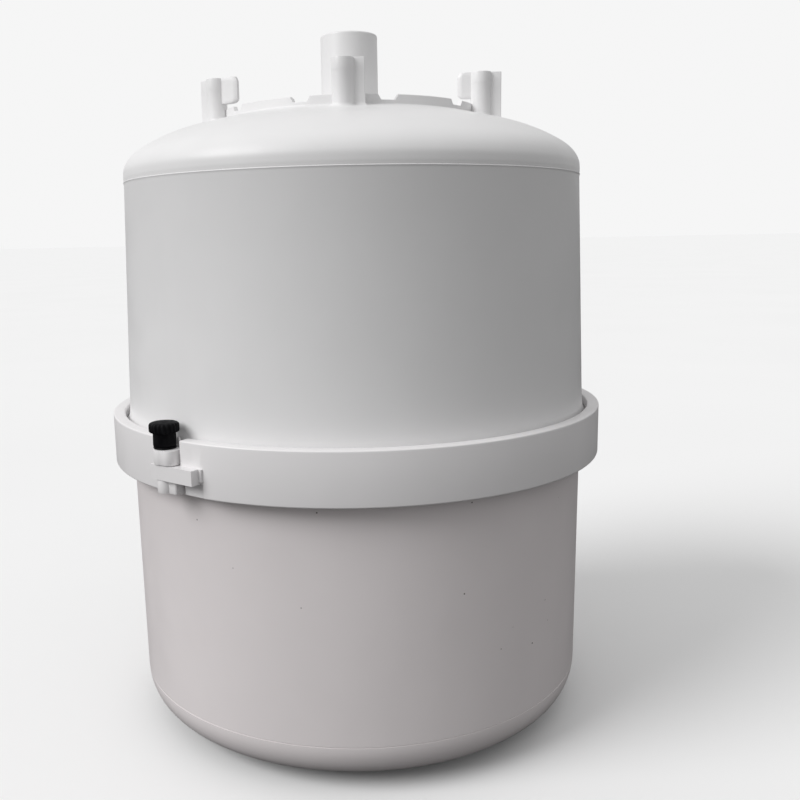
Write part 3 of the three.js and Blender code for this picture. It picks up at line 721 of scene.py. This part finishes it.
# ---------------------------------------------------------------- lower shell
def lower_outline():
    inner = LOWER_SEAM_R - WALL
    seam = FOOT_HEIGHT + LOWER_CORNER
    corner = LOWER_CORNER
    inside = LOWER_RIM_R - WALL
    flare = arc((LOWER_FLARE_R, FLANGE_BOTTOM - FLARE_HEIGHT), (LOWER_FLARE_WIDTH, FLARE_HEIGHT), 176, 90, 10)
    drain = rounded([
        (19, FOOT_HEIGHT + WALL, 1.5), (18.7, 34, 0.8), (12.5, 34, 0.5), (12.5, 30, 0.3), (15, 30, 0.3),
        (15, 21, 0.2), (17, 21, 0.2), (17, 18, 0.2), (15, 18, 0.2), (15.2, FOOT_HEIGHT, 1.0),
        (FOOT_R - 4, FOOT_HEIGHT, 1.5), (FOOT_R - 3, 0, 0.7), (FOOT_R, 0, 0.7),
        (FOOT_R + 1, FOOT_HEIGHT, 1.5), (LOWER_SEAM_R - corner - 2, FOOT_HEIGHT)], 25)
    rounding = arc((LOWER_SEAM_R - corner, seam), (corner, corner), -90, -1, 18)
    parting = [(LOWER_SEAM_R, seam - 0.1), (LOWER_SEAM_R - 0.35, seam + 0.1),
               (LOWER_SEAM_R - 0.35, seam + 0.5), (LOWER_SEAM_R + 0.12, seam + 0.7)]
    flange = rounded([
        (FLANGE_R - 2, FLANGE_BOTTOM), (FLANGE_R, FLANGE_BOTTOM, 0.7), (FLANGE_R, LOWER_TOP, 0.7),
        (inside, LOWER_TOP, 0.5), (inside, FLANGE_BOTTOM)], 30)
    floor = arc((inner - corner + WALL, seam), (corner - WALL, corner - WALL), 0, -90, 10)
    return drain[:-1] + rounding + parting + flare + flange[1:-1] + floor


def make_lower_shell():
    shell = revolve("lower_shell_moulding", lower_outline(), steps=240, sharp=38)
    finish_piece(shell, LOWER_WHITE, "lower_plastic", "vessel", "lower_shell")


# ---------------------------------------------------------------- clamp ring
def ring_section():
    lip_low = RING_BOTTOM + RING_LIP
    lip_high = RING_TOP - RING_LIP
    return rounded([
        (RING_LIP_R, RING_TOP, 0.8), (RING_R, RING_TOP, 1.0), (RING_R, RING_BOTTOM, 1.0),
        (RING_LIP_R, RING_BOTTOM, 0.8), (RING_LIP_R, lip_low, 0.4), (RING_GROOVE_R, lip_low, 0.4),
        (RING_GROOVE_R, lip_high, 0.4), (RING_LIP_R, lip_high, 0.4)], 22)


def half_ring(name, start, end):
    """Half of the C-section ring between two azimuths."""
    trim = math.degrees(SPLIT_GAP / 2 / RING_R)
    azimuths = np.linspace(start + trim, end - trim, 121)
    rings = [[around(a, r, z) for r, z in ring_section()] for a in azimuths]
    return stack(name, rings, closed_profile=False, sharp=40)


def hinge_part(piece, side, bottom, top):
    """Adds one hinge knuckle and the web behind it."""
    at = local(HINGE_AZIMUTH, HINGE_R)
    combine(piece, "UNION", drum_mesh("knuckle", HINGE_KNUCKLE_R, (bottom, top), at))
    near, far = SPLIT_GAP / 2, HINGE_KNUCKLE_R + 3
    y = (near, far) if side < 0 else (-far, -near)
    web = box_mesh("web", (RING_GROOVE_R + 1, HINGE_R), y, (bottom, top), local(HINGE_AZIMUTH))
    combine(piece, "UNION", web)


def hinge_room(piece, spans):
    """Clears the space in which the other half's knuckles turn."""
    for bottom, top in spans:
        room = drum_mesh("room", HINGE_KNUCKLE_R + 2 * PLAY, (bottom, top), local(HINGE_AZIMUTH, HINGE_R))
        combine(piece, "DIFFERENCE", room)


def finish_half(half, body, node):
    """Bores the half for the hinge's pin and rounds its edges."""
    ends = (RING_BOTTOM - 1, RING_TOP + 1)
    combine(half, "DIFFERENCE", drum_mesh("bore", HINGE_PIN_R + GAP, ends, local(HINGE_AZIMUTH, HINGE_R)))
    soften(half, 0.35)
    finish_piece(half, RING_WHITE, "ring_plastic", body, node)


def add_boss(half, at_knob, at_split):
    """Adds the boss above the tongue and the knuckle below it, each with a block on to the split."""
    combine(half, "UNION", drum_mesh("boss", BOSS_R, (TONGUE_TOP, BOSS_TOP), at_knob))
    combine(half, "UNION", drum_mesh("knuckle", KNUCKLE_R, (KNUCKLE_BOTTOM, TONGUE_BOTTOM), at_knob))
    middle_y = (at_split.inverted() @ around(KNOB_AZIMUTH, KNOB_R)).y
    back, side_y = RING_GROOVE_R + 1, -SPLIT_GAP / 2
    for front, corner, bottom, top in ((KNOB_R + BOSS_R - 0.8, 4.5, TONGUE_TOP, BOSS_TOP),
                                       (KNOB_R + 2.5, 1.5, KNUCKLE_BOTTOM, TONGUE_BOTTOM)):
        outline = rounded([(back, middle_y), (front, middle_y), (front, side_y, corner), (back, side_y)], 12)
        rings = [[at_split @ Vector((x, y, z)) for x, y in outline] for z in (bottom, top)]
        combine(half, "UNION", stack("fill", rings, closed_profile=False))


def cut_boss(half, at_knob, at_split):
    """Clears the flanges' groove, the pocket over the boss, the tongue's room and the screw's holes."""
    groove = (RING_BOTTOM + RING_LIP, RING_TOP - RING_LIP)
    over_boss = (BOSS_TOP, RING_TOP + 1)
    combine(half, "DIFFERENCE", drum_mesh("inside", RING_GROOVE_R, groove, local(0), 360))
    combine(half, "DIFFERENCE", drum_mesh("pocket", BOSS_R + 0.9, over_boss, at_knob))
    mouth = box_mesh("mouth", (RING_LIP_R - 3, RING_R + 3), (BOSS_MOUTH_LEFT, 0.5), over_boss, at_split)
    combine(half, "DIFFERENCE", mouth)
    slot = box_mesh("slot", (RING_GROOVE_R + 1.5, RING_R + 20), (TONGUE_ROOM_LEFT, 0.5),
                    (TONGUE_BOTTOM - PLAY, TONGUE_TOP + PLAY), at_split)
    combine(half, "DIFFERENCE", slot)
    combine(half, "DIFFERENCE", drum_mesh("hole", STUD_HOLE_R, (TONGUE_TOP, BOSS_TOP + 1), at_knob))
    seat = drum_mesh("seat", INSERT_HOLE_R, (KNUCKLE_BOTTOM - 1, TONGUE_BOTTOM), at_knob)
    combine(half, "DIFFERENCE", seat)


def make_left_half():
    low_z, first, second, high_z = HINGE_STEPS
    at_knob = local(KNOB_AZIMUTH, KNOB_R)
    at_split = local(SPLIT_AZIMUTH)
    half = half_ring("clamp_ring_left", SPLIT_AZIMUTH - 180, SPLIT_AZIMUTH)
    hinge_room(half, [(first - PLAY, second + PLAY)])
    for bottom, top in ((low_z, first - PLAY), (second + PLAY, high_z)):
        hinge_part(half, -1, bottom, top)
    add_boss(half, at_knob, at_split)
    cut_boss(half, at_knob, at_split)
    finish_half(half, "vessel", "clamp_half_left")


def make_right_half():
    _, first, second, _ = HINGE_STEPS
    at_split = local(SPLIT_AZIMUTH)
    half = half_ring("clamp_ring_right", SPLIT_AZIMUTH, SPLIT_AZIMUTH + 180)
    hinge_room(half, [(RING_BOTTOM - 1, first), (second, RING_TOP + 1)])
    hinge_part(half, 1, first, second)
    tongue = box_mesh("tongue", (RING_GROOVE_R + 2, TONGUE_FRONT), (TONGUE_LEFT, TONGUE_RIGHT),
                      (TONGUE_BOTTOM, TONGUE_TOP), at_split)
    combine(half, "UNION", tongue)
    root = box_mesh("root", (RING_GROOVE_R + 2, RING_R + 0.5), (TONGUE_ROOT_LEFT, TONGUE_ROOT_RIGHT),
                    (TONGUE_BOTTOM + 1.6, TONGUE_TOP), at_split)
    combine(half, "UNION", root)
    slot_half = STUD_R + 0.7
    through = (TONGUE_BOTTOM - 1, TONGUE_TOP + 1)
    slot_end = drum_mesh("slot_end", slot_half, through, local(KNOB_AZIMUTH, KNOB_R))
    combine(half, "DIFFERENCE", slot_end)
    slot = box_mesh("slot", (KNOB_R - 10, KNOB_R + slot_half), (-30, 0), through, local(KNOB_AZIMUTH))
    combine(half, "DIFFERENCE", slot)
    recess = box_mesh("recess", (RING_R - 2.6, RING_R + 5), (0, TONGUE_ROOT_RIGHT),
                      (RING_BOTTOM - 1, TONGUE_BOTTOM), at_split)
    combine(half, "DIFFERENCE", recess)
    finish_half(half, "clamp_gate", "clamp_half_right")


def make_hinge_pin():
    bottom, top = span("clamp_hinge_pin")
    pin = turned("hinge_pin", [
        (0.01, bottom), (HINGE_PIN_R, bottom, 0.5), (HINGE_PIN_R, RING_TOP + GAP),
        (HINGE_HEAD_R, RING_TOP + GAP, 0.3), (HINGE_HEAD_R, top - 0.6, 0.9), (2.2, top, 1.5),
        (0.01, top)], HINGE)
    finish_piece(pin, TURNED_STEEL, "stainless", "vessel", "clamp_hinge_pin")


# ---------------------------------------------------------------- screw closure
def on_knob(radius, angle, height):
    """A point about the knob's axis."""
    return Vector((KNOB.x + radius * math.cos(angle), KNOB.y + radius * math.sin(angle), height))


def make_knob():
    """Black knob: a fluted head with a crowned top on a plain neck."""
    bottom, top = span("clamp_knob")
    head = bottom + 8
    blind_end = head + 2.3
    flutes = 22
    samples = flutes * 10
    # Each point is (radius, height, share of the flutes' depth).
    outline = [
        (2.9, blind_end, 0), (2.9, bottom + 0.4, 0), (3.3, bottom, 0), (6.2, bottom, 0),
        (6.55, bottom + 0.2, 0), (6.7, bottom + 0.6, 0), (6.6, head - 0.8, 0), (6.75, head - 0.3, 0),
        (7.2, head, 0), (8.1, head + 0.05, 0.4), (8.55, head + 0.35, 1), (8.7, head + 0.9, 1),
        (8.7, head + 3.9, 1), (8.55, head + 4.6, 1), (8.1, head + 5.15, 0.7), (7.3, head + 5.5, 0.2),
        (6.0, head + 5.75, 0), (3.5, top - 0.2, 0), (1.5, top, 0), (0.02, top, 0), (0.02, blind_end, 0)]
    rings = []
    for j in range(samples):
        phase = TAU * j / samples
        wave = 0.5 - 0.5 * math.cos(flutes * phase)
        groove = 0.62 * wave ** 0.6
        rings.append([on_knob(r - groove * depth, phase, z) for r, z, depth in outline])
    knob = stack("clamp_knob_fluted", rings, sharp=50)
    finish_piece(knob, BLACK, "black_plastic", "closure_screw", "clamp_knob")


def make_washer():
    z0, z1 = span("clamp_washer")
    washer = turned("clamp_washer_moulded", [
        (STUD_HOLE_R, z0, 0.2), (WASHER_R, z0, 0.3), (WASHER_R, z1, 0.3), (STUD_HOLE_R, z1, 0.2)], KNOB)
    finish_piece(washer, BLACK, "black_plastic", "closure_washer", "clamp_washer")


def threaded(name, radius, pitch, bottom, top):
    """A screw on the knob's axis, with a helical thread and tapered ends."""
    steps = 48
    depth = 0.6 * pitch
    rows = int((top - bottom) / pitch * 8)
    rings = []
    for i in range(rows + 1):
        z = bottom + (top - bottom) * i / rows
        edge = min(1, (z - bottom) / 1.2, (top - z) / 1.2)
        ring = []
        for j in range(steps):
            phase = ((z / pitch) - j / steps) % 1
            ridge = 1 - abs(2 * phase - 1)
            r = radius - depth * (1 - ridge) - 0.7 * (1 - edge) * ridge
            ring.append(on_knob(r, TAU * j / steps, z))
        rings.append(ring)
    return stack(name, rings, closed_profile=False, sharp=60)


def make_stud():
    stud = threaded("clamp_stud_threaded", STUD_R, STUD_PITCH, *span("clamp_stud"))
    finish_piece(stud, TURNED_STEEL, "stainless", "closure_screw", "clamp_stud")


def make_insert():
    """Brass insert with a knurled outside."""
    z0, z1 = span("clamp_insert")
    ribs = 24
    samples = ribs * 6
    outline = rounded([
        (STUD_HOLE_R, z0, 0.3), (INSERT_R, z0, 0.3), (INSERT_R, z1, 0.3), (STUD_HOLE_R, z1, 0.3)])
    rings = []
    for j in range(samples):
        angle = TAU * j / samples
        cut = 0.25 * (0.5 - 0.5 * math.cos(ribs * angle))
        rings.append([on_knob(r - cut * (r > INSERT_R - 0.4), angle, z) for r, z in outline])
    insert = stack("clamp_insert_knurled", rings, sharp=50)
    finish_piece(insert, BRASS, "brass", "vessel", "clamp_insert")


# ---------------------------------------------------------------- inside
def make_terminals():
    """Nut, seal and pin of every post, with its electrode plate or its sensor sleeve."""
    for index, where in enumerate(STATIONS):
        kind = "electrode" if where in ELECTRODES else "sensor"
        place = middle(f"{kind}_pin_{where}")
        make_nut(f"{kind}_nut_{where}", place, station(index, STATION_R))
        make_seal(f"{kind}_seal_{where}", place)
        make_pin(f"{kind}_pin_{where}", low(f"{kind}_seal_{where}").z - GAP, place)
        if kind == "electrode":
            make_plate(f"electrode_plate_{where}", station(index, STATION_R + PIN_HOLE_R))
        else:
            make_sleeve(f"sensor_sleeve_{where}", place)


def make_nut(node, place, at):
    z0, z1 = span(node)
    nut = turned(f"{node}_slotted", [
        (PIN_HOLE_R, z0, 0.3), (4.5, z0, 0.4), (4.5, z1, 0.5), (PIN_HOLE_R, z1, 0.3)], place)
    combine(nut, "DIFFERENCE", box_mesh("slot", (-6, 6), (-0.6, 0.6), (z1 - 1.6, z1 + 1), at))
    soften(nut, 0.12)
    finish_piece(nut, BRASS, "brass", "vessel", node)


def make_seal(node, place):
    z0, z1 = span(node)
    seal = turned(f"{node}_ring", [
        (PIN_HOLE_R, z0, 0.6), (7.6, z0, 0.9), (7.6, z1, 0.9), (PIN_HOLE_R, z1, 0.6)], place)
    finish_piece(seal, RUBBER, "rubber", "vessel", node)


def make_pin(node, collar, place):
    """A pin with a collar inside the dome and a fine groove above it."""
    z0, z1 = span(node)
    pin = turned(f"{node}_turned", [
        (0.01, z0), (PIN_R, z0, 0.8), (PIN_R, collar - 3, 0.4), (8.0, collar - 3, 0.5), (8.0, collar, 0.5),
        (PIN_R, collar, 0.3), (PIN_R, 401.8, 0.1), (2.75, 402.1, 0.1), (2.75, 402.5, 0.1),
        (PIN_R, 402.8, 0.1), (PIN_R, z1 - 2.5, 0.4), (1.8, z1, 0.7), (0.01, z1)], place, steps=48)
    finish_piece(pin, TURNED_STEEL, "stainless", "vessel", node)


def make_sleeve(node, place):
    z0, z1 = span(node)
    sleeve = turned(f"{node}_moulded", [
        (PIN_HOLE_R, z0, 0.2), (4.4, z0, 0.5), (5.0, z0 + 2.5, 1.5), (5.0, z1, 0.5),
        (PIN_HOLE_R, z1, 0.2)], place)
    finish_piece(sleeve, PTFE_WHITE, "ptfe", "vessel", node)


def make_plate(node, at):
    """Perforated stainless electrode plate."""
    z0, z1 = span(node)
    outline = rounded([
        (-PLATE_HALF, z0, 8), (PLATE_HALF, z0, 8), (PLATE_HALF, z1, 2), (-PLATE_HALF, z1, 2)], 12)
    rings = [[at @ Vector((x, y, z)) for y, z in outline] for x in (0, PLATE_THICKNESS)]
    plate = stack(f"{node}_perforated", rings, closed_profile=False)
    for y in (-20, 20):
        for z in (160, 240, 320):
            hole = [[at @ Vector((x, y + 8 * math.cos(TAU * k / 40), z + 20 * math.sin(TAU * k / 40)))
                     for k in range(40)] for x in (-PLATE_THICKNESS, 2 * PLATE_THICKNESS)]
            combine(plate, "DIFFERENCE", stack("hole", hole, closed_profile=False))
    soften(plate, 0.3)
    finish_piece(plate, STEEL, "stainless", "vessel", node)


def make_seals():
    z0, z1 = span("flange_gasket")
    edge = high("flange_gasket").x
    gasket = revolve("flange_gasket_moulded", rounded([
        (152.5, z0, 0.6), (155, z0, 0.3), (155.5, z0 + 0.4, 0.3), (157, z0 + 0.4, 0.3), (157.5, z0, 0.3),
        (edge, z0, 0.6), (edge, z1, 0.6), (157.5, z1, 0.3), (157, z1 - 0.4, 0.3), (155.5, z1 - 0.4, 0.3),
        (155, z1, 0.3), (152.5, z1, 0.6)]), steps=180)
    finish_piece(gasket, RUBBER, "rubber", "vessel", "flange_gasket")
    ring = revolve("drain_seal_ring", arc((15.5, middle("drain_seal").z), (1.15, 1.15), 0, 345, 23), steps=96)
    finish_piece(ring, RUBBER, "rubber", "vessel", "drain_seal")


def make_strainer():
    z0, z1 = span("drain_strainer")
    inner, ceiling = STRAINER_R - STRAINER_WALL, z1 - STRAINER_WALL
    cage = revolve("drain_strainer_cage", rounded([
        (inner, z0, 0.4), (STRAINER_R, z0, 0.5), (STRAINER_R, z1, 3.5), (0.02, z1), (0.02, ceiling),
        (inner, ceiling, 2.0)]), steps=96)
    for k in range(8):
        at = Matrix.Rotation(math.radians(22.5 * k + 11.25), 4, "Z")
        for bottom, top in ((z0 + 6, z0 + 25), (z0 + 28, z1 - 8)):
            combine(cage, "DIFFERENCE", box_mesh("slot", (-30, 30), (-1.3, 1.3), (bottom, top), at))
    soften(cage, 0.2)
    finish_piece(cage, STRAINER_WHITE, "strainer_plastic", "vessel", "drain_strainer")


make_upper_shell()
make_lower_shell()
make_left_half()
make_right_half()
make_hinge_pin()
make_knob()
make_washer()
make_stud()
make_insert()
make_terminals()
make_seals()
make_strainer()


# ---------------------------------------------------------------- stage and light
BACKDROP = 0.92
SKY = 0.60
FLOOR_SEEN = 0.90  # how pale the floor is to the camera
FLOOR_BOUNCE = 0.10  # how pale it is to the light that it throws back
FLOOR_HALF = 60000


def make_stage():
    """A pale, even floor that throws little light back at the object."""
    n = Nodes("studio_floor")
    seen = n.blend(n.remap(n.noise(2, 3), 0.3, 0.7, 0, 1), shade((FLOOR_SEEN,) * 3, 0.985), (FLOOR_SEEN,) * 3)
    direct = n.tree.nodes.new("ShaderNodeLightPath").outputs["Is Camera Ray"]
    n.link(n.blend(direct, (FLOOR_BOUNCE,) * 3, seen), n.shader.inputs["Base Color"])
    n.set(Roughness=1.0)
    n.shader.inputs["Specular IOR Level"].default_value = 0
    sides = (-FLOOR_HALF, FLOOR_HALF)
    floor = build("floor", [(x, y, -0.2) for x in sides for y in sides], [(0, 1, 3, 2)])
    floor.data.materials.append(n.material)


def make_sky():
    """Even light from all round, behind a plain pale backdrop."""
    world = bpy.data.worlds.new("studio")
    world.use_nodes = True
    tree = world.node_tree
    background = tree.nodes["Background"]
    background.inputs["Color"].default_value = (1, 1, 1, 1)
    strength = tree.nodes.new("ShaderNodeMapRange")
    strength.inputs["To Min"].default_value = SKY
    strength.inputs["To Max"].default_value = BACKDROP
    path = tree.nodes.new("ShaderNodeLightPath")
    tree.links.new(path.outputs["Is Camera Ray"], strength.inputs["Value"])
    tree.links.new(strength.outputs["Result"], background.inputs["Strength"])
    bpy.context.scene.world = world


def add_lamp(name, azimuth, elevation, spread, power):
    """A far, soft lamp: spread is how wide it looks from the object, in degrees."""
    data = bpy.data.lights.new(name, "SUN")
    data.energy = power
    data.angle = math.radians(spread)
    lamp = bpy.data.objects.new(name, data)
    rise = math.radians(elevation)
    place = around(azimuth, math.cos(rise), math.sin(rise))
    lamp.location = place
    lamp.rotation_euler = place.to_track_quat("Z", "Y").to_euler()
    bpy.context.scene.collection.objects.link(lamp)


make_stage()
make_sky()
add_lamp("key", azimuth=-62, elevation=36, spread=34, power=1.94)
add_lamp("top", azimuth=-20, elevation=80, spread=60, power=0.12)
bpy.context.scene.view_settings.view_transform = "Standard"
